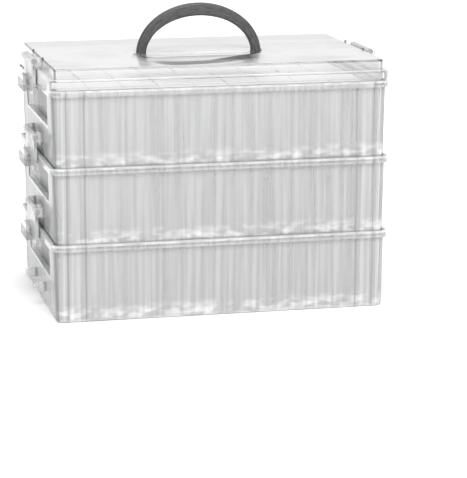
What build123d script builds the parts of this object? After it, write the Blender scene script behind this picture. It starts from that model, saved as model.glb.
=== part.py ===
from build123d import *
from math import cos, radians, sin
import os

# Diamond painting storage box: three clear trays stack on one another under a clear lid
# with a folding handle. Latches on the short sides hang from the upper item of each joint
# and hook under the rim of the tray below. Small flip-top containers fill the trays.
# Millimetres, +Z up, origin at the middle of the box's underside, long side along X.

# Overall sizes
box_width = 240.0
box_depth = 160.0
box_height = 180.0
tray_count = 3
tray_pitch = 54.5
nest_depth = 1.5

# Tray shell
wall = 1.8
floor_thickness = 2.0
wall_draft = 1.2
corner_radius = 6.0
bottom_radius = 2.6
bottom_edge_turns = (0, 30, 60, 90)

# Finger bay under the rim in each short side
bay_depth = 5.0
bay_length = 104.0
bay_bottom = 27.5
bay_corner_radius = 3.0

# Rim: an outer flange that the latches hook under, and an inner ledge that the next tray stands on
rim_reach = 2.2
rim_height = 4.5
ledge_margin = 0.2
ledge_thickness = 2.0
nesting_clearance = 0.4
smallest_radius = 1.2

# Lid
skirt_height = 7.5
plateau_inset = 1.5
lid_edge_radius = 1.6
lid_ring_thickness = 1.6
lid_plug_width = 1.6

# Handle and its bay in the lid
handle_half_span = 46.2
handle_rise = 37.4
handle_crown_width = 9.2
handle_side_width = 6.6
handle_thickness = 7.0
handle_edge_radius = 1.6
handle_foot_chamfer = 1.8
chamfer_angle = 45
pivot_pin_radius = 1.5
pivot_pin_reach = 1.6
pan_depth = 6.5
pan_clearance = 0.8
pin_fit = 0.06

# Latch, measured outwards from the side of the box and upwards from the rim top
latch_width = 44.4
latch_axis_out = 4.0
latch_axis_up = 13.0
latch_barrel_radius = 2.4
latch_plate_in = 3.2
latch_plate_thickness = 2.2
latch_drop = 11.0
hook_engagement = 0.8
hook_play = 1.5
hook_lip = 0.9
hook_ramp = 2.3
tab_width = 28.0
tab_reach = 6.1
tab_top = 0.5
tab_bottom = 9.0
tab_nose = 2.4
tab_edge_radius = 0.8
trunnion_radius = 1.2
trunnion_length = 2.0

# Ears that carry the latch
ear_radius = 3.2
ear_thickness = 2.6
ear_side_gap = 0.2

# Containers
container_height = 50.0
container_width = 24.8
container_depth = 10.0
container_columns = 9
container_rows = 14
container_wall = 0.9
container_taper = 0.8
container_lid_thickness = 1.2
container_lid_lip = 0.4
container_foot = 6.0
container_floor = 1.0
thumb_tab_width = 5.0
thumb_tab_reach = 0.8
row_pitch = 11.0
end_column_pitch = 26.2
bay_column_pitch = 25.1

# Worked out from the sizes above
rim_top = tray_pitch + nest_depth
seat_reach = nesting_clearance - wall_draft
ledge_reach = bay_depth + wall + ledge_margin
lid_base = (tray_count - 1) * tray_pitch + rim_top
half_width = box_width / 2
half_depth = box_depth / 2
latch_half = latch_width / 2
pan_floor = box_height - pan_depth
foot_radius = handle_thickness / 2
pivot_height = pan_floor + foot_radius + nesting_clearance
handle_foot_inner = handle_half_span - handle_side_width

tray_names = ["bottom", "middle", "top"]


def straight_ring(height, outer_reach, inner_reach):
    """Plan of a ring at a height, between two reaches from the box's side."""
    with BuildSketch(Plane.XY.offset(height)) as ring:
        for reach, mode in ((outer_reach, Mode.ADD), (inner_reach, Mode.SUBTRACT)):
            radius = max(corner_radius + reach, smallest_radius)
            RectangleRounded(box_width + 2 * reach, box_depth + 2 * reach, radius, mode=mode)
    return ring.sketch


def straight_plan(height, reach):
    """Plan of a level at a height: the box's rounded rectangle grown outwards by reach."""
    with BuildSketch(Plane.XY.offset(height)) as plan:
        radius = max(corner_radius + reach, smallest_radius)
        RectangleRounded(box_width + 2 * reach, box_depth + 2 * reach, radius)
    return plan.sketch


def add_ears(root_out, rim):
    """Two round-ended brackets on each short side, bored for the trunnions of a latch."""
    middle = latch_half + ear_side_gap + ear_thickness / 2
    arm_length = latch_axis_out - root_out
    for side in (1, -1):
        axis_x = side * (half_width + latch_axis_out)
        arm_x = side * (half_width + root_out + arm_length / 2)
        for end in (1, -1):
            with BuildSketch(Plane.XZ.offset(end * middle)) as bracket:
                with Locations((axis_x, rim + latch_axis_up)):
                    Circle(ear_radius)
                with Locations((arm_x, rim + latch_axis_up)):
                    Rectangle(arm_length, 2 * ear_radius)
            extrude(bracket.sketch, amount=ear_thickness / 2, both=True)
            with BuildSketch(Plane.XZ.offset(end * middle)) as bore:
                with Locations((axis_x, rim + latch_axis_up)):
                    Circle(trunnion_radius + pin_fit)
            extrude(bore.sketch, amount=ear_thickness, both=True, mode=Mode.SUBTRACT)


def bay_block(grow, outer_reach, mode):
    """Solid of the two finger bays, grown by a wall, out to a reach from the box's side."""
    bay_height = rim_top - rim_height - bay_bottom
    for side in (1, -1):
        bay_start = (side * (half_width - bay_depth - grow), 0, bay_bottom + bay_height / 2)
        with BuildSketch(Plane(origin=bay_start, x_dir=(0, 1, 0), z_dir=(side, 0, 0))) as bay:
            RectangleRounded(bay_length + 2 * grow, bay_height + 2 * grow, bay_corner_radius + grow)
        extrude(bay.sketch, amount=bay_depth + grow + outer_reach, mode=mode)


def make_tray():
    """One tray, resting on the floor: shell, rim with its ledge and seat, finger bays and ears."""
    with BuildPart() as tray:
        shell_levels = [
            straight_plan(
                bottom_radius * (1 - cos(radians(turn))),
                -wall_draft - bottom_radius * (1 - sin(radians(turn))),
            )
            for turn in bottom_edge_turns
        ]
        loft(shell_levels + [straight_plan(rim_top, 0)], ruled=True)
        # outer flange
        extrude(straight_ring(rim_top - rim_height, rim_reach, 0), amount=rim_height)
        # hollow
        hollow = [straight_plan(floor_thickness, -wall_draft - wall), straight_plan(rim_top, -wall)]
        loft(hollow, ruled=True, mode=Mode.SUBTRACT)
        # ledge, and the seat in the rim that holds the next tray's foot
        ledge = straight_ring(tray_pitch - ledge_thickness, rim_reach, -ledge_reach)
        extrude(ledge, amount=ledge_thickness + nest_depth)
        extrude(straight_plan(tray_pitch, seat_reach), amount=nest_depth, mode=Mode.SUBTRACT)
        # finger bays
        bay_block(wall, -wall_draft, Mode.ADD)
        bay_block(0, wall, Mode.SUBTRACT)
        add_ears(-wall_draft - wall / 2, nest_depth)
    return tray


def handle_area(plane, shrink):
    """Area under the handle's arch, half an ellipse above the pivots, drawn in by two amounts."""
    side, top = shrink
    with BuildSketch(plane) as area:
        with BuildLine():
            crown = EllipticalCenterArc((0, 0), handle_half_span - side, handle_rise - top, arc_size=180)
            Line(crown @ 1, crown @ 0)
        make_face()
    return area.sketch


def handle_bay(grow):
    """Plan of the bay in the lid's top, which the handle folds into towards the front."""
    reach = pan_clearance + grow
    down = Plane(origin=(0, 0, box_height), x_dir=(1, 0, 0), z_dir=(0, 0, -1))
    with BuildSketch(down) as bay:
        add(handle_area(Plane.XY, (-reach, -reach)))
        with Locations((0, -(foot_radius + reach) / 2)):
            Rectangle(2 * (handle_half_span + reach), foot_radius + reach)
    return bay.sketch


def make_lid():
    """The lid: skirt, raised plateau, locating ring, latch ears and the sunk handle bay."""
    skirt_top = lid_base + skirt_height
    with BuildPart() as lid:
        extrude(straight_plan(lid_base, rim_reach), amount=skirt_height)
        extrude(straight_plan(skirt_top, -plateau_inset), amount=box_height - skirt_top)
        top_edges = lid.faces().sort_by(Axis.Z)[-1].edges()
        step_edges = lid.faces().filter_by(Plane.XY).sort_by(Axis.Z)[1].outer_wire().edges()
        fillet(top_edges + step_edges, radius=lid_edge_radius)
        # hollow in two levels
        extrude(straight_plan(lid_base, rim_reach - wall), amount=skirt_height - wall, mode=Mode.SUBTRACT)
        plateau_hollow = straight_plan(lid_base, -plateau_inset - wall)
        extrude(plateau_hollow, amount=box_height - wall - lid_base, mode=Mode.SUBTRACT)
        # ring that rests on the top tray's rim, and the plug that locates in its seat
        plug_outer = seat_reach - nesting_clearance
        plug_inner = plug_outer - lid_plug_width
        extrude(straight_ring(lid_base, rim_reach - wall / 2, plug_inner), amount=lid_ring_thickness)
        plug_depth = nest_depth - nesting_clearance
        extrude(straight_ring(lid_base - plug_depth, plug_outer, plug_inner), amount=plug_depth)
        # handle bay
        extrude(handle_bay(wall), amount=pan_depth + wall)
        extrude(handle_bay(0), amount=pan_depth, mode=Mode.SUBTRACT)
        with BuildSketch(Plane.YZ):
            with Locations((0, pivot_height)):
                Circle(pivot_pin_radius + pin_fit)
        extrude(amount=handle_half_span + pan_clearance + 2 * wall, both=True, mode=Mode.SUBTRACT)
        add_ears(-plateau_inset - wall / 2, lid_base)
    return lid


def make_handle():
    """The carrying handle, upright: a flat-sided arch with round feet and pivot pins."""
    upright = Plane(origin=(0, 0, pivot_height), x_dir=(1, 0, 0), z_dir=(0, -1, 0))
    with BuildPart() as handle:
        extrude(handle_area(upright, (0, 0)), amount=handle_thickness / 2, both=True)
        inside = handle_area(upright, (handle_side_width, handle_crown_width))
        extrude(inside, amount=handle_thickness, both=True, mode=Mode.SUBTRACT)
        above_feet = handle.edges().filter_by(lambda e: e.center().Z > pivot_height + handle_edge_radius)
        long_edges = above_feet.filter_by(lambda e: abs(e.center().Y) > handle_edge_radius)
        fillet(long_edges, radius=handle_edge_radius)
        for side in (1, -1):
            foot_start = Plane(origin=(side * handle_foot_inner, 0, pivot_height), z_dir=(side, 0, 0))
            straight_length = handle_side_width - handle_foot_chamfer
            with BuildSketch(foot_start):
                Circle(foot_radius)
            extrude(amount=straight_length)
            with BuildSketch(foot_start.offset(straight_length)):
                Circle(foot_radius)
            extrude(amount=handle_foot_chamfer, taper=chamfer_angle)
            with BuildSketch(foot_start):
                Circle(pivot_pin_radius)
            extrude(amount=handle_side_width + pan_clearance + pivot_pin_reach)
    return handle


def make_latch(side, rim):
    """One latch: hinge barrel with trunnions, plate, hook under the flange and a finger tab."""
    plate_in = half_width + latch_plate_in
    plate_out = plate_in + latch_plate_thickness
    hook_top = rim - rim_height - hook_play
    hook_in = half_width + rim_reach - hook_engagement
    with BuildPart() as latch:
        with BuildSketch(Plane.XZ):
            with BuildLine():
                Polyline(
                    (side * plate_in, rim + latch_axis_up),
                    (side * plate_in, hook_top),
                    (side * hook_in, hook_top),
                    (side * hook_in, hook_top - hook_lip),
                    (side * plate_in, hook_top - hook_lip - hook_ramp),
                    (side * plate_in, rim - latch_drop),
                    (side * plate_out, rim - latch_drop),
                    (side * plate_out, rim + latch_axis_up),
                    close=True,
                )
            make_face()
            with Locations((side * (half_width + latch_axis_out), rim + latch_axis_up)):
                Circle(latch_barrel_radius)
        extrude(amount=latch_half, both=True)
        with BuildSketch(Plane.XZ) as tab:
            with BuildLine():
                Polyline(
                    (side * (plate_out - latch_plate_thickness / 2), rim + tab_top),
                    (side * (plate_out + tab_nose), rim + tab_top),
                    (side * (plate_out + tab_reach), rim + tab_top - tab_nose),
                    (side * (plate_out + tab_reach), rim - tab_bottom),
                    (side * (plate_out - latch_plate_thickness / 2), rim - tab_bottom),
                    close=True,
                )
            make_face()
            outer = tab.vertices().sort_by(lambda v: abs(v.X))[2:]
            fillet(outer, radius=tab_edge_radius)
        extrude(amount=tab_width / 2, both=True)
        with BuildSketch(Plane.XZ):
            with Locations((side * (half_width + latch_axis_out), rim + latch_axis_up)):
                Circle(trunnion_radius)
        extrude(amount=latch_half + ear_side_gap + trunnion_length, both=True)
    return latch


def container_section(height, inset_x, inset_y):
    """Plan of a container at a height: its lid plate's rectangle drawn in on each side."""
    with BuildSketch(Plane.XY.offset(height)) as section:
        with Locations((-thumb_tab_reach / 2, 0)):
            Rectangle(container_width - thumb_tab_reach - 2 * inset_x, container_depth - 2 * inset_y)
    return section.sketch


def make_container():
    """One closed container: tapered body on a hollow foot, flip lid and thumb tab."""
    body_top = container_height - container_lid_thickness
    inner_floor = container_foot + container_floor
    low_x = container_lid_lip + container_taper
    low_y = container_lid_lip + container_taper / 2
    with BuildPart() as container:
        top_inset = container_lid_lip + container_wall
        inner_low = container_section(inner_floor, low_x + container_wall, low_y + container_wall)
        foot_hollow = container_section(0, low_x + container_wall, low_y + container_wall)
        body_upper = container_section(body_top, container_lid_lip, container_lid_lip)
        loft([container_section(0, low_x, low_y), body_upper])
        loft([inner_low, container_section(body_top, top_inset, top_inset)], mode=Mode.SUBTRACT)
        extrude(foot_hollow, amount=container_foot, mode=Mode.SUBTRACT)
        extrude(container_section(body_top, 0, 0), amount=container_lid_thickness)
        with BuildSketch(Plane.XY.offset(body_top)):
            with Locations(((container_width - thumb_tab_reach) / 2, 0)):
                Rectangle(thumb_tab_reach, thumb_tab_width)
        extrude(amount=container_lid_thickness)
    return container


def save(piece, name):
    """Label a finished piece and write it under its node's name."""
    piece.part.label = name
    export_step(piece.part, f"parts/{name}.step")


os.makedirs("parts", exist_ok=True)

one_tray = make_tray()
for level, name in enumerate(tray_names):
    with BuildPart(Plane.XY.offset(level * tray_pitch)) as tray:
        add(one_tray.part)
    save(tray, f"{name}_tray")

save(make_lid(), "lid")
save(make_handle(), "handle")

for level, name in enumerate(tray_names):
    rim = level * tray_pitch + rim_top
    for side, side_name in ((-1, "left"), (1, "right")):
        save(make_latch(side, rim), f"{name}_tray_{side_name}_latch")

one_container = make_container()
clear_of_bay = bay_length / 2 + wall + container_depth / 2
for level, name in enumerate(tray_names):
    stand = Plane.XY.offset(level * tray_pitch + floor_thickness)
    for row in range(container_rows):
        row_y = (row - (container_rows - 1) / 2) * row_pitch
        pitch = end_column_pitch if abs(row_y) > clear_of_bay else bay_column_pitch
        with BuildPart(stand) as containers:
            with Locations((0, row_y)):
                with GridLocations(pitch, row_pitch, container_columns, 1):
                    add(one_container.part)
        save(containers, f"{name}_containers_row_{row + 1:02d}")
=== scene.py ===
import math

import bmesh
import bpy
from bpy.props import FloatProperty, FloatVectorProperty, IntProperty, PointerProperty
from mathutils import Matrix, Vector


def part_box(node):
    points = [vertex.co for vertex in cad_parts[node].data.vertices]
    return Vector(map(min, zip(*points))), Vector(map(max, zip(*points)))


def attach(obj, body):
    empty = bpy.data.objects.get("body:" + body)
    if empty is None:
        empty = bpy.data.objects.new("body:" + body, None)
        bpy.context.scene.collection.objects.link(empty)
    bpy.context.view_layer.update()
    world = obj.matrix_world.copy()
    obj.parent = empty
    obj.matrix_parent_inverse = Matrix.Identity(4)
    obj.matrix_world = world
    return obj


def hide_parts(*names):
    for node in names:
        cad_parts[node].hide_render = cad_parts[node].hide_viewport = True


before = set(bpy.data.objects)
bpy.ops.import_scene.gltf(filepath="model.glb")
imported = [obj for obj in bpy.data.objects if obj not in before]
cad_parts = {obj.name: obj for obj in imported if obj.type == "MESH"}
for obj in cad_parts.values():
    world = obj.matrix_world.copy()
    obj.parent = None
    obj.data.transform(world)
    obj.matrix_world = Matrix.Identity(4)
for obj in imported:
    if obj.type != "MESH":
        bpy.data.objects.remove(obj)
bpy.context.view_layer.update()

bl_info = {
    "name": "Stacking Storage Box",
    "version": (1, 0, 0),
    "blender": (4, 5, 0),
    "location": "3D View > Sidebar > Storage Box",
    "description": "Dresses a clear stacking storage box with its containers, latches, lid and handle",
    "category": "Object",
}

TIERS = ("bottom", "middle", "top")
TIER_BODIES = {"bottom": "base_tier", "middle": "middle_tier", "top": "top_tier"}
SIDES = ("left", "right")
MM = 0.001

# How far rims, ears and pins stand out from the box, its lid and its handle
RIM_REACH = 2.2 * MM
EAR_REACH = 7.2 * MM
EAR_RISE = 1.2 * MM
PIN_REACH = 2.4 * MM


def tenths(length):
    """A length in metres, rounded to a tenth of a millimetre."""
    return round(length, 4)


# Places on the box, measured from its frame: half its sides, the height from one tray to the next,
# the lid's top, the floor of the handle's bay, and the handle's arch above its pivots
TRAY_LOW, TRAY_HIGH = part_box("bottom_tray")
HALF_WIDTH = tenths(TRAY_HIGH.x - EAR_REACH)
HALF_DEPTH = tenths(TRAY_HIGH.y - RIM_REACH)
TRAY_PITCH = tenths(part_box("middle_tray")[0].z - TRAY_LOW.z)
LID_TOP = tenths(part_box("lid")[1].z - EAR_RISE)
PAN_DEPTH = 6.5 * MM
PAN_FLOOR = LID_TOP - PAN_DEPTH
LATCH_OUT = tenths(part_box("bottom_tray_right_latch")[1].x)
HANDLE_LOW, HANDLE_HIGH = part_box("handle")
HANDLE_FRONT = tenths(HANDLE_LOW.y)
HANDLE_PIVOT = tenths(HANDLE_LOW.z + HANDLE_HIGH.y)
HANDLE_SPAN = tenths(HANDLE_HIGH.x - PIN_REACH)
HANDLE_RISE = tenths(HANDLE_HIGH.z - HANDLE_PIVOT)


class ContainerSettings(bpy.types.PropertyGroup):
    """Sizes of one flip-top container and how the containers stand in a tray."""

    columns: IntProperty(name="Columns", description="Containers along a row", default=9, min=1)
    rows: IntProperty(name="Rows", description="Rows from front to back", default=14, min=1)
    row_pitch: FloatProperty(
        name="Row pitch", description="Distance between rows", default=11.0 * MM, subtype="DISTANCE"
    )
    bay_pitch: FloatProperty(
        name="Column pitch between the bays", description="Spacing where the tray is narrow",
        default=25.1 * MM, subtype="DISTANCE",
    )
    end_pitch: FloatProperty(
        name="Column pitch at the ends", description="Spacing in the full width of the tray",
        default=26.2 * MM, subtype="DISTANCE",
    )
    end_zone: FloatProperty(
        name="End zone", description="Distance from the middle past which rows use the wide pitch",
        default=55.0 * MM, subtype="DISTANCE",
    )
    height: FloatProperty(
        name="Height", description="Height with the lid shut", default=50.0 * MM, subtype="DISTANCE"
    )
    lid_width: FloatProperty(
        name="Lid width", description="Lid plate along X", default=24.0 * MM, subtype="DISTANCE"
    )
    lid_depth: FloatProperty(
        name="Lid depth", description="Lid plate along Y", default=10.0 * MM, subtype="DISTANCE"
    )
    lid_thickness: FloatProperty(
        name="Lid thickness", description="Thickness of the lid plate",
        default=1.2 * MM, subtype="DISTANCE",
    )
    lip: FloatProperty(
        name="Lid lip", description="How far the lid stands out", default=0.4 * MM, subtype="DISTANCE"
    )
    taper: FloatProperty(
        name="Taper", description="Draw-in of each side at the foot", default=0.8 * MM, subtype="DISTANCE"
    )
    wall: FloatProperty(name="Wall", description="Wall thickness", default=0.9 * MM, subtype="DISTANCE")
    foot: FloatProperty(
        name="Foot", description="Height of the hollow foot", default=6.0 * MM, subtype="DISTANCE"
    )
    floor: FloatProperty(name="Floor", description="Floor thickness", default=1.0 * MM, subtype="DISTANCE")
    plug: FloatProperty(
        name="Plug", description="Depth of the lid's plug", default=7.5 * MM, subtype="DISTANCE"
    )
    tab_width: FloatProperty(
        name="Tab width", description="Width of the thumb tab", default=5.0 * MM, subtype="DISTANCE"
    )
    tab_reach: FloatProperty(
        name="Tab reach", description="How far the tab stands out", default=0.8 * MM, subtype="DISTANCE"
    )
    lean: FloatProperty(
        name="Lean", description="Largest lean of a container", default=math.radians(0.7), subtype="ANGLE"
    )
    seed: IntProperty(name="Seed", description="Seed of the small leans", default=11)
    tray_floor: FloatProperty(
        name="Tray floor", description="Height of a tray's floor above its foot",
        default=2.0 * MM, subtype="DISTANCE",
    )


class FinishSettings(bpy.types.PropertyGroup):
    """Colours and cover of the plastics: cover is how much of the view a clear wall takes."""

    tray_light: FloatVectorProperty(
        name="Tray light", description="Tray plastic seen face on",
        default=(0.92, 0.922, 0.925), subtype="COLOR",
    )
    tray_dark: FloatVectorProperty(
        name="Tray dark", description="Tray plastic seen along its wall",
        default=(0.66, 0.665, 0.67), subtype="COLOR",
    )
    tray_cover: FloatProperty(name="Tray cover", description="Cover face on", default=0.32, min=0.0, max=1.0)
    lid_light: FloatVectorProperty(
        name="Lid light", description="Lid plastic seen face on",
        default=(0.985, 0.985, 0.985), subtype="COLOR",
    )
    lid_dark: FloatVectorProperty(
        name="Lid dark", description="Lid plastic seen along its wall",
        default=(0.62, 0.62, 0.63), subtype="COLOR",
    )
    lid_cover: FloatProperty(name="Lid cover", description="Cover face on", default=0.22, min=0.0, max=1.0)
    latch_light: FloatVectorProperty(
        name="Latch light", description="Latch plastic seen face on",
        default=(0.56, 0.565, 0.57), subtype="COLOR",
    )
    latch_dark: FloatVectorProperty(
        name="Latch dark", description="Latch plastic seen along its wall",
        default=(0.33, 0.335, 0.34), subtype="COLOR",
    )
    latch_line: FloatVectorProperty(
        name="Latch outline", description="Grey along the edges of the finger tab",
        default=(0.35, 0.355, 0.36), subtype="COLOR",
    )
    latch_cover: FloatProperty(
        name="Latch cover", description="Cover face on", default=0.6, min=0.0, max=1.0
    )
    container_light: FloatVectorProperty(
        name="Container light", description="Lightest container plastic",
        default=(0.97, 0.97, 0.975), subtype="COLOR",
    )
    container_dark: FloatVectorProperty(
        name="Container dark", description="Darkest container plastic",
        default=(0.89, 0.89, 0.9), subtype="COLOR",
    )
    # Painted light: grey painted around the foot and rim of each tray, over the shade in the seam where the
    # trays meet
    seam_light_colour: FloatVectorProperty(
        name="Foot line", description="Light grey around the foot and the rim of a tray",
        default=(0.6, 0.6, 0.605), subtype="COLOR",
    )
    back_colour: FloatVectorProperty(
        name="Lid back", description="Grey of the strip along the back of the lid",
        default=(0.55, 0.55, 0.555), subtype="COLOR",
    )
    # Painted shade: this grey is painted in the middle of the finger bays' floors, and also on the dark
    # upright lines
    floor_colour: FloatVectorProperty(
        name="Bay floor", description="Grey of the floors of the finger bays",
        default=(0.2, 0.205, 0.21), subtype="COLOR",
    )
    # Painted shade: a dark line painted along the top of the lid's short edges
    edge_shade_colour: FloatVectorProperty(
        name="Lid edge", description="Grey of the line along the lid's short edges",
        default=(0.12, 0.12, 0.125), subtype="COLOR",
    )
    # Also painted as shade on the short sides behind the latches
    corner_colour: FloatVectorProperty(
        name="Corner band", description="Grey of the bands beside the trays' corners",
        default=(0.2, 0.205, 0.21), subtype="COLOR",
    )
    # Painted shade: the near-black band painted on the handle bay's wall
    bay_shade_colour: FloatVectorProperty(
        name="Bay wall", description="Grey of the handle bay's wall",
        default=(0.03, 0.03, 0.03), subtype="COLOR",
    )
    handle_colour: FloatVectorProperty(
        name="Handle plastic", description="Dark grey of the handle",
        default=(0.08, 0.08, 0.081), subtype="COLOR",
    )


class StageSettings(bpy.types.PropertyGroup):
    """Light, floor and camera."""

    lens: FloatProperty(name="Lens", description="Focal length for a 36 mm sensor", default=166.08)
    floor_size: FloatProperty(
        name="Floor size", description="Side of the floor", default=12.0, subtype="DISTANCE"
    )
    paper_colour: FloatVectorProperty(
        name="Paper", description="White of the floor", default=(0.97, 0.97, 0.97), subtype="COLOR"
    )
    world_strength: FloatProperty(
        name="World light", description="Strength of the soft surround", default=0.88
    )
    key_strength: FloatProperty(name="Key light", description="Strength of the key lamp", default=2.1)
    key_height: FloatProperty(
        name="Key height", description="Angle of the key lamp above the floor",
        default=math.radians(50.0), subtype="ANGLE",
    )
    key_side: FloatProperty(
        name="Key side", description="Angle of the key lamp to the right of the front",
        default=math.radians(-6.0), subtype="ANGLE",
    )
    key_softness: FloatProperty(
        name="Key softness", description="Apparent size of the key lamp",
        default=math.radians(40.0), subtype="ANGLE",
    )


def link(obj):
    """Put an object into the scene."""
    bpy.context.scene.collection.objects.link(obj)
    return obj


def mesh_object(name, verts, faces):
    """A new object from vertices and faces in metres, with its normals outwards."""
    mesh = bpy.data.meshes.new(name)
    mesh.from_pydata(verts, [], faces)
    work = bmesh.new()
    work.from_mesh(mesh)
    bmesh.ops.recalc_face_normals(work, faces=work.faces)
    work.to_mesh(mesh)
    work.free()
    mesh.update()
    return link(bpy.data.objects.new(name, mesh))


def rectangle_ring(half_x, half_y, cut, z, shift_x=0.0):
    """Eight points of a rectangle with its corners cut off, at height z."""
    x, y = half_x, half_y
    points = [
        (x - cut, -y), (x, -y + cut), (x, y - cut), (x - cut, y),
        (-x + cut, y), (-x, y - cut), (-x, -y + cut), (-x + cut, -y),
    ]
    return [(px + shift_x, py, z) for px, py in points]


def skin(rings, verts, faces):
    """Join a list of equal rings into a closed shell, with a cap on the first and the last."""
    start = len(verts)
    count = len(rings[0])
    for ring in rings:
        verts.extend(ring)
    for level in range(len(rings) - 1):
        low = start + level * count
        high = low + count
        for i in range(count):
            j = (i + 1) % count
            faces.append((low + i, low + j, high + j, high + i))
    faces.append(tuple(start + i for i in reversed(range(count))))
    last = start + (len(rings) - 1) * count
    faces.append(tuple(last + i for i in range(count)))


def evaluated_copy(source, name):
    """A plain mesh object of what an object's modifiers make; the source is removed."""
    bpy.context.view_layer.update()
    graph = bpy.context.evaluated_depsgraph_get()
    mesh = bpy.data.meshes.new_from_object(source.evaluated_get(graph), depsgraph=graph)
    mesh.name = name
    bpy.data.objects.remove(source)
    return link(bpy.data.objects.new(name, mesh))


def node_tree_material(name):
    """An empty node material: the material, its tree and its output node."""
    material = bpy.data.materials.new(name)
    material.use_nodes = True
    tree = material.node_tree
    tree.nodes.clear()
    output = tree.nodes.new("ShaderNodeOutputMaterial")
    return material, tree, output


def add(tree, kind, **values):
    """A node with some of its sockets set by name."""
    node = tree.nodes.new(kind)
    for socket, value in values.items():
        node.inputs[socket.replace("_", " ")].default_value = value
    return node


def curve_node(tree, source, low, high, from_low=0.0, from_high=1.0):
    """Maps a value onto a new range; returns the output socket."""
    node = add(tree, "ShaderNodeMapRange")
    for name, value in (("From Min", from_low), ("From Max", from_high), ("To Min", low), ("To Max", high)):
        node.inputs[name].default_value = value
    tree.links.new(source, node.inputs["Value"])
    return node.outputs["Result"]


def value_node(tree, operation, first, second=0.0, clamp=False):
    """One sum on two values, each a number or a socket; returns the output socket."""
    node = tree.nodes.new("ShaderNodeMath")
    node.operation = operation
    node.use_clamp = clamp
    for socket, value in zip(node.inputs, (first, second)):
        if isinstance(value, (int, float)):
            socket.default_value = value
        else:
            tree.links.new(value, socket)
    return node.outputs["Value"]


def product_node(tree, *values):
    """Product of several values, kept between 0 and 1; returns the output socket."""
    result = values[0]
    for value in values[1:]:
        result = value_node(tree, "MULTIPLY", result, value, clamp=True)
    return result


def rest_node(tree, value):
    """What is left of one when a value is taken away."""
    return value_node(tree, "SUBTRACT", 1.0, value)


def below_node(tree, value, limit):
    """One where a value is less than a limit, otherwise nothing."""
    return value_node(tree, "LESS_THAN", value, limit)


def above_node(tree, value, limit):
    """One where a value is more than a limit, otherwise nothing."""
    return value_node(tree, "GREATER_THAN", value, limit)


def between_node(tree, value, low, high):
    """One where a value lies between two limits, otherwise nothing."""
    return product_node(tree, above_node(tree, value, low), below_node(tree, value, high))


def place_nodes(tree, axes="XYZ"):
    """Coordinates of a point on its own object, along the axes named."""
    place = add(tree, "ShaderNodeTexCoord")
    split = add(tree, "ShaderNodeSeparateXYZ")
    tree.links.new(place.outputs["Object"], split.inputs["Vector"])
    return [split.outputs[axis] for axis in axes]


def distance_nodes(tree, axes="XY"):
    """Distances of a point from the middle of its own object, along the axes named."""
    return [value_node(tree, "ABSOLUTE", place) for place in place_nodes(tree, axes)]


def tray_level(tree):
    """Height of a point above the foot of the tray that is level with it."""
    z = place_nodes(tree, "Z")[0]
    return value_node(tree, "MODULO", z, TRAY_PITCH)


def oval(tree, x, y, span_x, span_y):
    """Distance from the middle of an upright oval, one on its outline."""
    squares = []
    for place, span in ((x, span_x), (y, span_y)):
        share = value_node(tree, "ABSOLUTE", value_node(tree, "DIVIDE", place, span))
        squares.append(value_node(tree, "POWER", share, 2.0))
    return value_node(tree, "SQRT", value_node(tree, "ADD", *squares))


def noise_node(tree, vector, scale, detail):
    """Noise along a vector; returns the output socket."""
    noise = add(tree, "ShaderNodeTexNoise", Scale=scale, Detail=detail)
    tree.links.new(vector, noise.inputs["Vector"])
    return noise.outputs["Fac"]


def stretched_place(tree, stretch):
    """Point on its own object, stretched along each axis."""
    place = add(tree, "ShaderNodeTexCoord")
    mapping = add(tree, "ShaderNodeMapping")
    mapping.inputs["Scale"].default_value = stretch
    tree.links.new(place.outputs["Object"], mapping.inputs["Vector"])
    return mapping.outputs["Vector"]


def side_on_node(tree):
    """How far a surface is seen side on, from nothing to one; returns the output socket."""
    return add(tree, "ShaderNodeLayerWeight", Blend=0.5).outputs["Facing"]


def mix_shaders(tree, share, first, second):
    """Mix of two shaders by the share of the second; returns the output socket."""
    mix = add(tree, "ShaderNodeMixShader")
    tree.links.new(share, mix.inputs["Fac"])
    tree.links.new(first, mix.inputs[1])
    tree.links.new(second, mix.inputs[2])
    return mix.outputs["Shader"]


def ramp_node(tree, source, stops):
    """Colours along a value; stops are pairs of a position and a colour; returns the output socket."""
    node = tree.nodes.new("ShaderNodeValToRGB")
    elements = node.color_ramp.elements
    while len(elements) < len(stops):
        elements.new(1.0)
    for element, (position, colour) in zip(elements, stops):
        element.position = position
        element.color = (*colour, 1.0)
    tree.links.new(source, node.inputs["Fac"])
    return node.outputs["Color"]


def plain_plastic(tree, colour, **values):
    """Plastic of one colour; returns the output socket."""
    plastic = add(tree, "ShaderNodeBsdfPrincipled", **values)
    plastic.inputs["Base Color"].default_value = (*colour, 1.0)
    return plastic.outputs["BSDF"]


def finish_node(name, material):
    """Give a CAD node one material."""
    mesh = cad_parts[name].data
    mesh.materials.clear()
    mesh.materials.append(material)


# How clear plastic bends light, shines and scatters
PLASTIC_IOR = 1.49
WALL_ROUGHNESS = 0.22
SHINE_ROUGHNESS = 0.08
DENSE_ROUGHNESS = 0.4
DENSE_SHINE = 0.1
# Range of the noise that the flow streaks use, and of how far a wall is seen side on
STREAK_RANGE = (0.35, 0.65)
SIDE_ON_RANGE = (0.2, 0.92)
FLOW_DETAIL = 2.0


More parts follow.
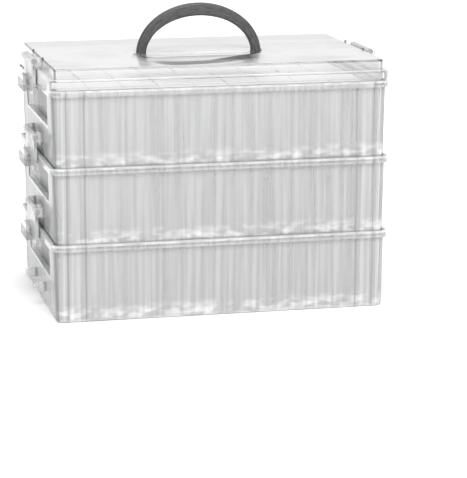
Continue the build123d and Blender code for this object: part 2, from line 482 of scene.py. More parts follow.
def clear_plastic(name, light, dark, cover, rim_cover, edge, streaks, sheen=1.0, kept=None, dense=()):
    """Clear moulded plastic: open face on, denser and darker along its edges, with flow streaks.

    edge is the range of side-on view over which the plastic darkens; streaks are the stretch of the
    flow and the least and most cover that it leaves; sheen scales the gloss; kept gives the share of
    the cover that each place keeps; dense lists the places that look solid and their colours, among them
    painted light and painted shade.
    """
    stretch, streak_low, streak_high = streaks
    material, tree, output = node_tree_material(name)
    side_on = side_on_node(tree)
    flow = noise_node(tree, stretched_place(tree, stretch), 1.0, FLOW_DETAIL)
    streak = curve_node(tree, flow, streak_low, streak_high, *STREAK_RANGE)
    share = product_node(tree, curve_node(tree, side_on, cover, rim_cover, *SIDE_ON_RANGE), streak)
    gloss = add(tree, "ShaderNodeFresnel", IOR=PLASTIC_IOR)
    shine_share = product_node(tree, gloss.outputs["Fac"], sheen)
    if kept:
        kept_share = kept(tree)
        share = product_node(tree, share, kept_share)
        shine_share = product_node(tree, shine_share, kept_share)
    plastic = add(tree, "ShaderNodeBsdfPrincipled", Roughness=WALL_ROUGHNESS, IOR=PLASTIC_IOR)
    tint = ramp_node(tree, side_on, ((0.0, light), (edge[0], light), (edge[1], dark)))
    tree.links.new(tint, plastic.inputs["Base Color"])
    open_air = add(tree, "ShaderNodeBsdfTransparent")
    shine = add(tree, "ShaderNodeBsdfGlossy", Roughness=SHINE_ROUGHNESS)
    body = mix_shaders(tree, share, open_air.outputs["BSDF"], plastic.outputs["BSDF"])
    body = mix_shaders(tree, shine_share, body, shine.outputs["BSDF"])
    for mask, colour in dense:
        deep = plain_plastic(tree, colour, Roughness=DENSE_ROUGHNESS, Specular_IOR_Level=DENSE_SHINE)
        body = mix_shaders(tree, mask(tree), body, deep)
    tree.links.new(body, output.inputs["Surface"])
    return material


# Thin plastic of the containers, which covers more where it is seen side on
CONTAINER_ROUGHNESS = 0.25
CLOSING_RANGE = (0.5, 1.0)
CLOSING_GAIN = 3.0


def attribute_node(tree, name):
    """A named value of the mesh; returns the output socket."""
    node = tree.nodes.new("ShaderNodeAttribute")
    node.attribute_name = name
    return node.outputs["Fac"]


def container_plastic(name, light, dark):
    """Thin clear plastic: each surface carries its own cover and each container its shade."""
    material, tree, output = node_tree_material(name)
    closing = curve_node(tree, side_on_node(tree), 1.0, CLOSING_GAIN, *CLOSING_RANGE)
    share = product_node(tree, attribute_node(tree, "cover"), closing)
    plastic = add(tree, "ShaderNodeBsdfPrincipled", Roughness=CONTAINER_ROUGHNESS, IOR=PLASTIC_IOR)
    tint = ramp_node(tree, attribute_node(tree, "shade"), ((0.0, dark), (1.0, light)))
    tree.links.new(tint, plastic.inputs["Base Color"])
    open_air = add(tree, "ShaderNodeBsdfTransparent")
    body = mix_shaders(tree, share, open_air.outputs["BSDF"], plastic.outputs["BSDF"])
    tree.links.new(body, output.inputs["Surface"])
    return material


# Satin plastic of the handle: gloss, fine grain, and streaks out from, along and across the arch
SATIN_ROUGHNESS = 0.42
SATIN_IOR = 1.46
GRAIN_SCALE = 900.0
GRAIN_DETAIL = 2.0
GRAIN_SHARE = 0.12
GRAIN_DEPTH = 0.4 * MM
ARCH_SCALES = (55.0, 7.0, 1200.0)
ARCH_DETAIL = 3.0
ARCH_TONES = (0.66, 1.36)
# Painted shade where the handle's surface turns away from the front, and how dark it is painted there
HANDLE_EDGE = (HANDLE_FRONT + 0.1 * MM, HANDLE_FRONT + 1.2 * MM)
HANDLE_TURN = (HANDLE_PIVOT + 18.6 * MM, HANDLE_PIVOT + 33.6 * MM)
HANDLE_SHADE_SHARE = 0.85
HANDLE_SHADE_TONE = 0.2
HANDLE_EDGE_ROUGHNESS = 0.5


def toned(colour, tone):
    """A colour with each of its parts scaled."""
    return [part * tone for part in colour]


def satin_plastic(name, colour):
    """Dark satin plastic: flow streaks along the arch, and painted shade where it turns sideways."""
    material, tree, output = node_tree_material(name)
    links = tree.links
    plastic = add(tree, "ShaderNodeBsdfPrincipled", Roughness=SATIN_ROUGHNESS, IOR=SATIN_IOR)
    place = add(tree, "ShaderNodeTexCoord")
    grain = noise_node(tree, place.outputs["Object"], GRAIN_SCALE, GRAIN_DETAIL)
    bump = add(tree, "ShaderNodeBump", Strength=GRAIN_SHARE, Distance=GRAIN_DEPTH)
    links.new(grain, bump.inputs["Height"])
    links.new(bump.outputs["Normal"], plastic.inputs["Normal"])
    x, y, z = place_nodes(tree)
    lift = value_node(tree, "SUBTRACT", z, HANDLE_PIVOT)
    along = value_node(tree, "ARCTAN2", lift, x)
    out = oval(tree, x, lift, HANDLE_SPAN, HANDLE_RISE)
    arch = tree.nodes.new("ShaderNodeCombineXYZ")
    for socket, source, scale in zip(arch.inputs, (out, along, y), ARCH_SCALES):
        links.new(value_node(tree, "MULTIPLY", source, scale), socket)
    flow = noise_node(tree, arch.outputs["Vector"], 1.0, ARCH_DETAIL)
    tones = [toned(colour, tone) for tone in ARCH_TONES]
    links.new(ramp_node(tree, flow, tuple(zip(STREAK_RANGE, tones))), plastic.inputs["Base Color"])
    # Painted shade on the side faces of the handle's legs, fading out towards the crown
    sideways = curve_node(tree, y, 0.0, 1.0, *HANDLE_EDGE)
    upright = curve_node(tree, z, HANDLE_SHADE_SHARE, 0.0, *HANDLE_TURN)
    deep = plain_plastic(tree, toned(colour, HANDLE_SHADE_TONE), Roughness=HANDLE_EDGE_ROUGHNESS)
    body = mix_shaders(tree, product_node(tree, sideways, upright), plastic.outputs["BSDF"], deep)
    links.new(body, output.inputs["Surface"])
    return material


# Plastic of the trays: cover and darkening where it is seen side on, and upright flow streaks
TRAY_RIM_COVER = 0.75
TRAY_EDGE = (0.84, 0.99)
TRAY_STREAKS = ((300.0, 180.0, 7.0), 0.85, 1.2)
# Where the walls turn at a tray's upright corners, which look dark through the plastic
CORNER_OUT = (HALF_WIDTH - 3.0 * MM, HALF_WIDTH + 0.3 * MM)
CORNER_BAND = (HALF_DEPTH - 10.0 * MM, HALF_DEPTH - 2.5 * MM)
CORNER_SHARE = 0.78
BESIDE_BAND = (HALF_DEPTH - 27.0 * MM, HALF_DEPTH - 10.0 * MM)
BESIDE_SHARE = 0.32
# Part of the short sides below the finger bays, behind the latches, painted darker as shade
LATCH_ZONE_TOP = 25.5 * MM
LATCH_ZONE_SHADE = 0.35


def corner_bands(tree):
    """Value that is high on the upright bands beside a tray's corners, and lower up to the bays, where shade
    behind the latches is painted.
    """
    out, along = distance_nodes(tree)
    side = between_node(tree, out, *CORNER_OUT)
    corner = product_node(tree, side, between_node(tree, along, *CORNER_BAND), CORNER_SHARE)
    beside = product_node(tree, side, between_node(tree, along, *BESIDE_BAND), BESIDE_SHARE)
    middle = below_node(tree, along, BESIDE_BAND[0])
    low = below_node(tree, tray_level(tree), LATCH_ZONE_TOP)
    # Painted shade on the short sides behind the latches
    zone = product_node(tree, side, middle, low, LATCH_ZONE_SHADE)
    return value_node(tree, "ADD", corner, value_node(tree, "ADD", beside, zone))


# Painted light: a light grey band painted around the foot of each tray, where it meets the rim of the tray
# below, which lifts the shade in the seam between them
FOOT_HEIGHT = 2.4 * MM
FOOT_SHARE = 0.4


def seam_light_band(tree):
    """Value that is high around the foot and the rim of each tray, where light is painted over the shade in
    the seam.
    """
    return product_node(tree, below_node(tree, tray_level(tree), FOOT_HEIGHT), FOOT_SHARE)


# Lighter patches low on each tray, where the containers' feet show
PATCH_LOW = 5.0 * MM
PATCH_TOP = 13.0 * MM
PATCH_SCALE = 110.0
PATCH_DETAIL = 1.0
PATCH_RANGE = (0.4, 0.66)
PATCH_GAIN = 0.85
PATCH_STRETCH = (1.0, 1.0, 2.2)
# Above this the back rim of the top tray is quite clear, as it is seen through the lid
RIM_START = len(TIERS) * TRAY_PITCH - 0.5 * MM


def tray_kept(tree):
    """Share of a tray's cover kept: more in patches low on its walls, none on the top back rim."""
    y, z = place_nodes(tree, "YZ")
    spots = noise_node(tree, stretched_place(tree, PATCH_STRETCH), PATCH_SCALE, PATCH_DETAIL)
    low = curve_node(tree, tray_level(tree), 1.0, 0.0, PATCH_LOW, PATCH_TOP)
    patch = product_node(tree, curve_node(tree, spots, 0.0, 1.0, *PATCH_RANGE), low)
    back_rim = product_node(tree, above_node(tree, y, 0.0), above_node(tree, z, RIM_START))
    most = value_node(tree, "ADD", value_node(tree, "MULTIPLY", patch, PATCH_GAIN), 1.0)
    return value_node(tree, "MULTIPLY", most, rest_node(tree, back_rim))


# Upright lines on the long walls near their ends, where the inner walls of the bays show
LINE_WALL = HALF_DEPTH - 3.0 * MM
DARK_LINES = ((97.5 * MM, 98.6 * MM), (110.2 * MM, 111.2 * MM))
LIGHT_LINES = ((102.0 * MM, 108.5 * MM), (113.0 * MM, 114.2 * MM))
DARK_LINE_SHARE = 0.42
LIGHT_LINE_SHARE = 0.1


def upright_lines(tree, lines, share):
    """Value that is high on upright lines of the long walls, at distances from their middle."""
    out, forward = distance_nodes(tree)
    found = 0.0
    for low, high in lines:
        found = value_node(tree, "ADD", found, between_node(tree, out, low, high))
    return product_node(tree, found, above_node(tree, forward, LINE_WALL), share)


def dark_lines(tree):
    """Value that is high on the dark upright lines."""
    return upright_lines(tree, DARK_LINES, DARK_LINE_SHARE)


def light_lines(tree):
    """Value that is high on the light upright lines."""
    return upright_lines(tree, LIGHT_LINES, LIGHT_LINE_SHARE)


# The finger bays in a tray's short sides: painted shade in the middle of the floor, behind the latches, and
# painted light at the ends
BAY_FLOOR = (HALF_WIDTH - 5.4 * MM, HALF_WIDTH - 4.7 * MM)
BAY_DEEP = (HALF_WIDTH - 5.4 * MM, HALF_WIDTH - 1.4 * MM)
BAY_DARK = (17.0 * MM, 25.0 * MM)
BAY_LIGHT = (50.0 * MM, 53.5 * MM)
BAY_HEIGHT = (27.0 * MM, 51.6 * MM)
BAY_DARK_SHARE = 0.75
BAY_LIGHT_SHARE = 0.75


def bay_floor_shade(tree):
    """Value that is high in the middle of the finger bays' floors, where shade is painted."""
    out, along = distance_nodes(tree)
    middle = curve_node(tree, along, 1.0, 0.0, *BAY_DARK)
    return product_node(tree, between_node(tree, out, *BAY_FLOOR), middle, BAY_DARK_SHARE)


def bay_end_light(tree):
    """Value that is high at the two ends of the finger bays, where light is painted."""
    out, along = distance_nodes(tree)
    deep = between_node(tree, out, *BAY_DEEP)
    end = between_node(tree, along, *BAY_LIGHT)
    level = between_node(tree, tray_level(tree), *BAY_HEIGHT)
    return product_node(tree, deep, end, level, BAY_LIGHT_SHARE)


class STORAGEBOX_OT_trays(bpy.types.Operator):
    """Give the three trays their clear plastic"""

    bl_idname = "storagebox.trays"
    bl_label = "Trays"

    def execute(self, context):
        finish = context.scene.storagebox_finish
        plastic = clear_plastic(
            "tray_plastic", finish.tray_light, finish.tray_dark, finish.tray_cover,
            TRAY_RIM_COVER, TRAY_EDGE, TRAY_STREAKS, kept=tray_kept, dense=(
                (seam_light_band, finish.seam_light_colour), (corner_bands, finish.corner_colour),
                (bay_floor_shade, finish.floor_colour), (bay_end_light, finish.tray_light),
                (dark_lines, finish.floor_colour), (light_lines, finish.tray_light),
            ),
        )
        for tier in TIERS:
            finish_node(f"{tier}_tray", plastic)
        return {"FINISHED"}


# Plastic of the lid: cover and darkening where it is seen side on, and level flow streaks
LID_RIM_COVER = 0.97
LID_EDGE = (0.93, 0.995)
LID_STREAKS = ((22.0, 22.0, 140.0), 0.85, 1.18)
# Painted shade: the wall of the handle's bay in the lid, whose lower part carries a dark band for the recess
# seen shaded through the clear plastic;
# the band lifts and fades towards its ends, tilts, and swells on the right
BAY_SPAN = HANDLE_SPAN + 0.8 * MM
BAY_RISE = HANDLE_RISE + 0.8 * MM
BAY_WALL = (0.97, 1.07)
BAY_BACK = 2.0 * MM
BAY_LOW = PAN_FLOOR + 2.0 * MM
BAY_HIGH = PAN_FLOOR + 4.3 * MM
BAY_END_POWER = 8.0
BAY_LIFT = 6.0 * MM
BAY_TILT = 0.045
BAY_SWELL = 0.05
BAY_STOP = 46.0 * MM
BAY_FADE = 0.55


def bay_shade_band(tree):
    """Value that is one on a band low on the bay's curved wall, rising towards its ends, where shade is
    painted.
    """
    x, y, z = place_nodes(tree)
    near = between_node(tree, oval(tree, x, y, BAY_SPAN, BAY_RISE), *BAY_WALL)
    front = below_node(tree, y, BAY_BACK)
    end = value_node(tree, "ABSOLUTE", value_node(tree, "DIVIDE", x, BAY_SPAN))
    end = value_node(tree, "POWER", end, BAY_END_POWER)
    height = value_node(tree, "SUBTRACT", z, value_node(tree, "MULTIPLY", end, BAY_LIFT))
    height = value_node(tree, "SUBTRACT", height, value_node(tree, "MULTIPLY", x, BAY_TILT))
    swell = value_node(tree, "MULTIPLY", value_node(tree, "MAXIMUM", x, 0.0), BAY_SWELL)
    above = above_node(tree, height, BAY_LOW)
    below = below_node(tree, value_node(tree, "SUBTRACT", height, swell), BAY_HIGH)
    inside = below_node(tree, value_node(tree, "ABSOLUTE", x), BAY_STOP)
    fading = rest_node(tree, value_node(tree, "MULTIPLY", end, BAY_FADE))
    return product_node(tree, near, above, below, front, inside, fading)


# The part of the lid inside its outer walls
INSIDE_X = HALF_WIDTH - 4.0 * MM
INSIDE_Y = HALF_DEPTH - 4.0 * MM
INSIDE_LOSS = 0.85
# The hollow of the handle's bay, whose floor and walls stay light
PAN_SIDE = 49.0 * MM
PAN_FRONT_BACK = (-40.0 * MM, 4.8 * MM)
PAN_LOW = PAN_FLOOR - 0.2 * MM
# Part of the top face in front of the bay, where the plastic is clearest
WINDOW_LOSS = 0.88
WINDOW_MIDDLE = 8.0 * MM
WINDOW_SPAN = (54.0 * MM, 130.0 * MM)
WINDOW_FADE = (0.74, 0.98)
WINDOW_LOW = LID_TOP - 1.7 * MM
# From above, the whole top face is clearer; the range is of how far it is seen side on
ABOVE_LOSS = 0.65
ABOVE_RANGE = (0.45, 0.78)


def lid_kept(tree):
    """Share of the lid's cover kept: little on its inner faces, less on top in front of the bay."""
    x, y, z = place_nodes(tree)
    out, forward = distance_nodes(tree)
    pan = product_node(
        tree, below_node(tree, out, PAN_SIDE), between_node(tree, y, *PAN_FRONT_BACK),
        above_node(tree, z, PAN_LOW),
    )
    inner = product_node(
        tree, below_node(tree, out, INSIDE_X), below_node(tree, forward, INSIDE_Y),
        below_node(tree, z, WINDOW_LOW), rest_node(tree, pan), INSIDE_LOSS,
    )
    shifted = value_node(tree, "ADD", x, WINDOW_MIDDLE)
    window = curve_node(tree, oval(tree, shifted, y, *WINDOW_SPAN), 1.0, 0.0, *WINDOW_FADE)
    window = product_node(tree, window, below_node(tree, y, 0.0), WINDOW_LOSS)
    above = curve_node(tree, side_on_node(tree), ABOVE_LOSS, 0.0, *ABOVE_RANGE)
    clearest = value_node(tree, "MAXIMUM", window, above)
    top = product_node(tree, clearest, above_node(tree, z, WINDOW_LOW))
    return rest_node(tree, value_node(tree, "ADD", inner, top))


# The lid's top face, the line of painted shade along its short edges and the strip along its back
TOP_LOW = LID_TOP - 1.1 * MM
EDGE_LINE = (HALF_WIDTH - 2.6 * MM, HALF_WIDTH - 1.2 * MM)
EDGE_SHARE = 0.7
BACK_STRIP = (43.0 * MM, 47.0 * MM)
BACK_SHARE = 0.4


def lid_edge_shade(tree):
    """Value that is high on the top edges of the lid's short sides, where a dark line of shade is painted.
    """
    x, z = place_nodes(tree, "XZ")
    side = between_node(tree, value_node(tree, "ABSOLUTE", x), *EDGE_LINE)
    return product_node(tree, side, above_node(tree, z, TOP_LOW), EDGE_SHARE)


def lid_back(tree):
    """Value that is high on the strip along the back of the lid's top face."""
    y, z = place_nodes(tree, "YZ")
    back = curve_node(tree, y, 0.0, BACK_SHARE, *BACK_STRIP)
    return product_node(tree, back, above_node(tree, z, TOP_LOW))


class STORAGEBOX_OT_lid(bpy.types.Operator):
    """Give the lid its clear plastic, with a band of painted shade on the wall of the handle's bay"""

    bl_idname = "storagebox.lid"
    bl_label = "Lid"

    def execute(self, context):
        finish = context.scene.storagebox_finish
        plastic = clear_plastic(
            "lid_plastic", finish.lid_light, finish.lid_dark, finish.lid_cover,
            LID_RIM_COVER, LID_EDGE, LID_STREAKS, kept=lid_kept, dense=(
                (bay_shade_band, finish.bay_shade_colour), (lid_edge_shade, finish.edge_shade_colour),
                (lid_back, finish.back_colour),
            ),
        )
        finish_node("lid", plastic)
        return {"FINISHED"}


# Plastic of the latches: cover and darkening where it is seen side on, cloudy flow, and little gloss
LATCH_RIM_COVER = 0.9
LATCH_EDGE = (0.84, 0.97)
LATCH_STREAKS = ((60.0, 60.0, 60.0), 0.7, 1.3)
LATCH_SHEEN = 0.3
# The finger tab of a latch: clear, with a grey outline
TAB_START = LATCH_OUT - 5.0 * MM
TAB_OUTER = LATCH_OUT - 0.6 * MM
TAB_LOWER = (46.9 * MM, 47.7 * MM)
TAB_UPPER = (1.3 * MM, 2.1 * MM)
TAB_LOSS = 0.75
TAB_LINE_SHARE = 0.65


def latch_kept(tree):
    """Share of a latch's cover kept: little on its finger tab."""
    tab = above_node(tree, distance_nodes(tree, "X")[0], TAB_START)
    return rest_node(tree, value_node(tree, "MULTIPLY", tab, TAB_LOSS))


def tab_outline(tree):
    """Value that is high along the edges of the finger tab."""
    out = distance_nodes(tree, "X")[0]
    level = tray_level(tree)
    lower = between_node(tree, level, *TAB_LOWER)
    ends = value_node(tree, "ADD", lower, between_node(tree, level, *TAB_UPPER))
    edges = value_node(tree, "ADD", ends, above_node(tree, out, TAB_OUTER), clamp=True)
    return product_node(tree, edges, above_node(tree, out, TAB_START), TAB_LINE_SHARE)


class STORAGEBOX_OT_latches(bpy.types.Operator):
    """Give the six latches their clear plastic"""

    bl_idname = "storagebox.latches"
    bl_label = "Latches"

    def execute(self, context):
        finish = context.scene.storagebox_finish
        plastic = clear_plastic(
            "latch_plastic", finish.latch_light, finish.latch_dark, finish.latch_cover,
            LATCH_RIM_COVER, LATCH_EDGE, LATCH_STREAKS, sheen=LATCH_SHEEN, kept=latch_kept,
            dense=((tab_outline, finish.latch_line),),
        )
        for tier in TIERS:
            for side in SIDES:
                finish_node(f"{tier}_tray_{side}_latch", plastic)
        return {"FINISHED"}


class STORAGEBOX_OT_handle(bpy.types.Operator):
    """Give the carrying handle its dark satin plastic"""

    bl_idname = "storagebox.handle"
    bl_label = "Handle"

    def execute(self, context):
        finish = context.scene.storagebox_finish
        finish_node("handle", satin_plastic("handle_plastic", finish.handle_colour))
        return {"FINISHED"}


# Cover of a container's surfaces: how much of the view each takes
WALL_COVER = 0.10
CORNER_COVER = 0.45
PLUG_COVER = 0.22
LID_COVER = 0.4
FLOOR_COVER = 0.55
SKIRT_COVER = 0.3
TAB_COVER = 0.5
# A container's cut corners, outside and inside, and the bevel around its lid
CORNER_CUT = 0.9 * MM
INNER_CUT = CORNER_CUT / 2
LID_BEVEL = CORNER_CUT / 3
# Top of the floor in floor thicknesses, and inset of the lid's plug in walls
FLOOR_TOP = 1.6
PLUG_INSET = 1.5


def one_container(sizes):
    """Mesh of one container, standing on the origin: body, hollow foot, lid, plug and thumb tab."""
    verts, faces, covers = [], [], []
    shift = -sizes.tab_reach / 2
    half_x = sizes.lid_width / 2
    half_y = sizes.lid_depth / 2
    top_x, top_y = half_x - sizes.lip, half_y - sizes.lip
    low_x, low_y = top_x - sizes.taper, top_y - sizes.taper / 2
    body_top = sizes.height - sizes.lid_thickness

    def body_ring(z, inset, corner):
        """Outline of the drafted body at a height, drawn in by an inset."""
        share = z / body_top
        x = low_x + (top_x - low_x) * share - inset
        y = low_y + (top_y - low_y) * share - inset
        return rectangle_ring(x, y, corner, z, shift)

    def shell(rings, side_cover, corner_cover, cap_cover):
        """One closed part of the container, with the cover of each of its faces."""
        first = len(faces)
        skin(rings, verts, faces)
        for index in range(first, len(faces) - 2):
            covers.append(corner_cover if (index - first) % 2 == 0 else side_cover)
        covers.extend((cap_cover, cap_cover))

    body = [body_ring(z, 0.0, CORNER_CUT) for z in (sizes.foot, body_top)]
    shell(body, WALL_COVER, CORNER_COVER, FLOOR_COVER)
    floor_heights = (sizes.foot + sizes.floor, sizes.foot + sizes.floor * FLOOR_TOP)
    floor = [body_ring(z, sizes.wall, INNER_CUT) for z in floor_heights]
    shell(floor, CORNER_COVER, CORNER_COVER, FLOOR_COVER)
    skirt = [
        body_ring(sizes.foot, sizes.wall, INNER_CUT), body_ring(0.0, sizes.wall, INNER_CUT),
        body_ring(0.0, 0.0, CORNER_CUT), body_ring(sizes.foot, 0.0, CORNER_CUT),
    ]
    shell(skirt, SKIRT_COVER, CORNER_COVER, WALL_COVER)
    plug_heights = (body_top - sizes.plug, body_top)
    plug = [body_ring(z, sizes.wall * PLUG_INSET, INNER_CUT) for z in plug_heights]
    shell(plug, PLUG_COVER, CORNER_COVER, CORNER_COVER)
    lid = [
        rectangle_ring(half_x - inset, half_y - inset, CORNER_CUT, z, shift)
        for inset, z in ((0.0, body_top), (0.0, sizes.height - LID_BEVEL), (LID_BEVEL, sizes.height))
    ]
    shell(lid, TAB_COVER, TAB_COVER, LID_COVER)
    tab_x = shift + half_x + sizes.tab_reach / 2
    outline = [
        (tab_x + sx * sizes.tab_reach / 2, sy * sizes.tab_width / 2)
        for sx, sy in ((-1, -1), (1, -1), (1, 1), (-1, 1))
    ]
    tab = [[(x, y, z) for x, y in outline] for z in (body_top, sizes.height)]
    shell(tab, TAB_COVER, TAB_COVER, TAB_COVER)
    unit = mesh_object("one_container", verts, faces)
    layer = unit.data.attributes.new("cover", "FLOAT", "FACE")
    layer.data.foreach_set("value", covers)
    return unit


# Inputs of the grid of containers and their kinds
GRID_INPUTS = {
    "Columns": "NodeSocketInt", "Rows": "NodeSocketInt", "Row pitch": "NodeSocketFloat",
    "Column pitch": "NodeSocketFloat", "End pitch": "NodeSocketFloat", "End zone": "NodeSocketFloat",
    "Lean": "NodeSocketFloat", "Seed": "NodeSocketInt", "Height": "NodeSocketFloat",
}
# Lean to front and back, as a share of the lean along a row, and step from the seed of the leans
# to the seed of the shades
FRONT_LEAN = 0.35
SHADE_SEED_STEP = 100


def container_grid_tree(material):
    """Geometry nodes that stand containers on a grid of rows, with small seeded leans."""
    tree = bpy.data.node_groups.new("container_rows", "GeometryNodeTree")
    face = tree.interface
    face.new_socket("Geometry", in_out="INPUT", socket_type="NodeSocketGeometry")
    for name, kind in GRID_INPUTS.items():
        face.new_socket(name, in_out="INPUT", socket_type=kind)
    face.new_socket("Geometry", in_out="OUTPUT", socket_type="NodeSocketGeometry")
    nodes, links = tree.nodes, tree.links
    given = nodes.new("NodeGroupInput").outputs
    result = nodes.new("NodeGroupOutput")

    grid = nodes.new("GeometryNodeMeshGrid")
    links.new(given["Columns"], grid.inputs["Vertices X"])
    links.new(given["Rows"], grid.inputs["Vertices Y"])
    gaps_x = value_node(tree, "SUBTRACT", given["Columns"], 1)
    gaps_y = value_node(tree, "SUBTRACT", given["Rows"], 1)
    links.new(value_node(tree, "MULTIPLY", gaps_x, given["Column pitch"]), grid.inputs["Size X"])
    links.new(value_node(tree, "MULTIPLY", gaps_y, given["Row pitch"]), grid.inputs["Size Y"])

    position = nodes.new("GeometryNodeInputPosition")
    split = nodes.new("ShaderNodeSeparateXYZ")
    links.new(position.outputs["Position"], split.inputs["Vector"])
    forward = value_node(tree, "ABSOLUTE", split.outputs["Y"])
    at_end = above_node(tree, forward, given["End zone"])
    ratio = value_node(tree, "DIVIDE", given["End pitch"], given["Column pitch"])
    wider = value_node(tree, "SUBTRACT", ratio, 1)
    spread = value_node(tree, "ADD", value_node(tree, "MULTIPLY", at_end, wider), 1)
    joined = nodes.new("ShaderNodeCombineXYZ")
    links.new(value_node(tree, "MULTIPLY", split.outputs["X"], spread), joined.inputs["X"])
    links.new(split.outputs["Y"], joined.inputs["Y"])
    links.new(given["Height"], joined.inputs["Z"])
    moved = nodes.new("GeometryNodeSetPosition")
    links.new(grid.outputs["Mesh"], moved.inputs["Geometry"])
    links.new(joined.outputs["Vector"], moved.inputs["Position"])

    lean = nodes.new("FunctionNodeRandomValue")
    lean.data_type = "FLOAT_VECTOR"
    front_lean = value_node(tree, "MULTIPLY", given["Lean"], FRONT_LEAN)
    for limit, sign in (("Max", 1), ("Min", -1)):
        turn = nodes.new("ShaderNodeCombineXYZ")
        links.new(value_node(tree, "MULTIPLY", front_lean, sign), turn.inputs["X"])
        links.new(value_node(tree, "MULTIPLY", given["Lean"], sign), turn.inputs["Y"])
        links.new(turn.outputs["Vector"], lean.inputs[limit])
    links.new(given["Seed"], lean.inputs["Seed"])
    stand = nodes.new("GeometryNodeInstanceOnPoints")
    links.new(moved.outputs["Geometry"], stand.inputs["Points"])
    links.new(given["Geometry"], stand.inputs["Instance"])
    links.new(lean.outputs["Value"], stand.inputs["Rotation"])

    tone = nodes.new("FunctionNodeRandomValue")
    tone.data_type = "FLOAT"
    links.new(value_node(tree, "ADD", given["Seed"], SHADE_SEED_STEP), tone.inputs["Seed"])
    shade = nodes.new("GeometryNodeStoreNamedAttribute")
    shade.data_type = "FLOAT"
    shade.domain = "INSTANCE"
    shade.inputs["Name"].default_value = "shade"
    links.new(stand.outputs["Instances"], shade.inputs["Geometry"])
    links.new([socket for socket in tone.outputs if socket.enabled][0], shade.inputs["Value"])
    real = nodes.new("GeometryNodeRealizeInstances")
    links.new(shade.outputs["Geometry"], real.inputs["Geometry"])
    paint = nodes.new("GeometryNodeSetMaterial")
    paint.inputs["Material"].default_value = material
    links.new(real.outputs["Geometry"], paint.inputs["Geometry"])
    links.new(paint.outputs["Geometry"], result.inputs["Geometry"])
    return tree


def socket_keys(tree):
    """Identifier of each named input of a node group."""
    items = tree.interface.items_tree
    return {item.name: item.identifier for item in items if item.in_out == "INPUT"}


class STORAGEBOX_OT_containers(bpy.types.Operator):
    """Fill the three trays with rows of flip-top containers"""

    bl_idname = "storagebox.containers"
    bl_label = "Containers"

    def execute(self, context):
        sizes = context.scene.storagebox_containers
        finish = context.scene.storagebox_finish
        light, dark = finish.container_light, finish.container_dark
        tree = container_grid_tree(container_plastic("container_plastic", light, dark))
        keys = socket_keys(tree)
        for number, tier in enumerate(TIERS):
            unit = one_container(sizes)
            grid = unit.modifiers.new("rows", "NODES")
            grid.node_group = tree
            tray_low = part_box(f"{tier}_tray")[0].z
            for name, value in (
                ("Columns", sizes.columns), ("Rows", sizes.rows), ("Row pitch", sizes.row_pitch),
                ("Column pitch", sizes.bay_pitch), ("End pitch", sizes.end_pitch),
                ("End zone", sizes.end_zone), ("Lean", sizes.lean), ("Seed", sizes.seed + number),
                ("Height", tray_low + sizes.tray_floor),
            ):
                grid[keys[name]] = value
            plain = evaluated_copy(unit, f"{tier}_containers")
            rows = [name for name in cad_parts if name.startswith(f"{tier}_containers_row")]
            if not rows:
                raise RuntimeError(f"the frame has no rows of containers for the {tier} tray")
            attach(plain, TIER_BODIES[tier])
            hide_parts(*sorted(rows))
        return {"FINISHED"}


# Camera of the photograph, in metres and degrees, and its sensor in millimetres
CAMERA_PLACE = (-0.3346, -1.5710, 0.3864)
CAMERA_TURN = (77.7826, 0.0034, -12.9370)
CAMERA_SENSOR = 36.0
CAMERA_NEAR = 0.05
# Surround that the eye sees, and the white light that it gives
SURROUND_SEEN = (0.8, 0.8, 0.8, 1.0)
SURROUND_LIGHT = (1.0, 1.0, 1.0, 1.0)
# How often light is followed, in all and for each kind of surface
MOST_BOUNCES = 10
DIFFUSE_BOUNCES = 5
GLOSSY_BOUNCES = 4
CLEAR_BOUNCES = 48


def surround(tree, strength):
    """World: pale to the eye, in gloss and through clear parts; soft white light for the rest."""
    output = tree.nodes.new("ShaderNodeOutputWorld")
    rays = tree.nodes.new("ShaderNodeLightPath").outputs
    seen = value_node(tree, "MAXIMUM", rays["Is Camera Ray"], rays["Is Glossy Ray"])
    seen = value_node(tree, "MAXIMUM", seen, rays["Is Transmission Ray"])
    shown = add(tree, "ShaderNodeBackground", Color=SURROUND_SEEN, Strength=1.0)
    light = add(tree, "ShaderNodeBackground", Color=SURROUND_LIGHT, Strength=strength)
    mixed = mix_shaders(tree, seen, light.outputs["Background"], shown.outputs["Background"])
    tree.links.new(mixed, output.inputs["Surface"])


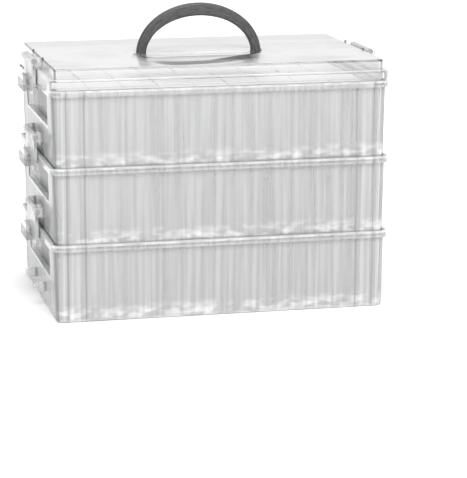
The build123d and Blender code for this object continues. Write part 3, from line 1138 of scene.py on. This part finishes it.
class STORAGEBOX_OT_stage(bpy.types.Operator):
    """Set up the floor, the lamp, the pale surround and the camera"""

    bl_idname = "storagebox.stage"
    bl_label = "Stage"

    def execute(self, context):
        stage = context.scene.storagebox_stage
        world = bpy.data.worlds.new("studio")
        context.scene.world = world
        world.use_nodes = True
        world.node_tree.nodes.clear()
        surround(world.node_tree, stage.world_strength)

        half = stage.floor_size / 2
        corners = [(-half, -half, 0), (half, -half, 0), (half, half, 0), (-half, half, 0)]
        floor = mesh_object("floor", corners, [(0, 1, 2, 3)])
        paper, tree, output = node_tree_material("paper")
        sheet = add(tree, "ShaderNodeBsdfDiffuse", Color=(*stage.paper_colour, 1.0))
        tree.links.new(sheet.outputs["BSDF"], output.inputs["Surface"])
        floor.data.materials.append(paper)

        lamp = bpy.data.lights.new("key", "SUN")
        lamp.energy = stage.key_strength
        lamp.angle = stage.key_softness
        key = link(bpy.data.objects.new("key", lamp))
        level = math.cos(stage.key_height)
        rise = math.sin(stage.key_height)
        towards = Vector((level * math.sin(stage.key_side), -level * math.cos(stage.key_side), rise))
        key.rotation_euler = towards.to_track_quat("Z", "Y").to_euler()

        camera = bpy.data.cameras.new("camera")
        camera.lens = stage.lens
        camera.sensor_width = CAMERA_SENSOR
        camera.clip_start = CAMERA_NEAR
        view = link(bpy.data.objects.new("camera", camera))
        view.location = CAMERA_PLACE
        view.rotation_euler = [math.radians(angle) for angle in CAMERA_TURN]
        context.scene.camera = view

        context.scene.view_settings.view_transform = "Standard"
        cycles = context.scene.cycles
        cycles.max_bounces = MOST_BOUNCES
        cycles.diffuse_bounces = DIFFUSE_BOUNCES
        cycles.glossy_bounces = GLOSSY_BOUNCES
        cycles.transparent_max_bounces = CLEAR_BOUNCES
        cycles.caustics_reflective = False
        cycles.caustics_refractive = False
        return {"FINISHED"}


class STORAGEBOX_PT_sidebar(bpy.types.Panel):
    """Lists the steps that dress the storage box"""

    bl_idname = "STORAGEBOX_PT_sidebar"
    bl_label = "Storage Box"
    bl_space_type = "VIEW_3D"
    bl_region_type = "UI"
    bl_category = "Storage Box"

    def draw(self, context):
        for step in STEPS:
            self.layout.operator(step.bl_idname)


STEPS = (
    STORAGEBOX_OT_stage, STORAGEBOX_OT_trays, STORAGEBOX_OT_lid, STORAGEBOX_OT_latches,
    STORAGEBOX_OT_handle, STORAGEBOX_OT_containers,
)
GROUPS = {
    "storagebox_containers": ContainerSettings,
    "storagebox_finish": FinishSettings,
    "storagebox_stage": StageSettings,
}


def register():
    """Add the settings, the steps and the panel."""
    for group in GROUPS.values():
        bpy.utils.register_class(group)
    for name, group in GROUPS.items():
        setattr(bpy.types.Scene, name, PointerProperty(type=group))
    for step in STEPS:
        bpy.utils.register_class(step)
    bpy.utils.register_class(STORAGEBOX_PT_sidebar)


def unregister():
    """Take away what register adds."""
    bpy.utils.unregister_class(STORAGEBOX_PT_sidebar)
    for step in reversed(STEPS):
        bpy.utils.unregister_class(step)
    for name in GROUPS:
        delattr(bpy.types.Scene, name)
    for group in reversed(list(GROUPS.values())):
        bpy.utils.unregister_class(group)


def main():
    """Dress the box."""
    register()
    bpy.ops.storagebox.stage()
    bpy.ops.storagebox.trays()
    bpy.ops.storagebox.lid()
    bpy.ops.storagebox.latches()
    bpy.ops.storagebox.handle()
    bpy.ops.storagebox.containers()


if __name__ == "__main__":
    main()
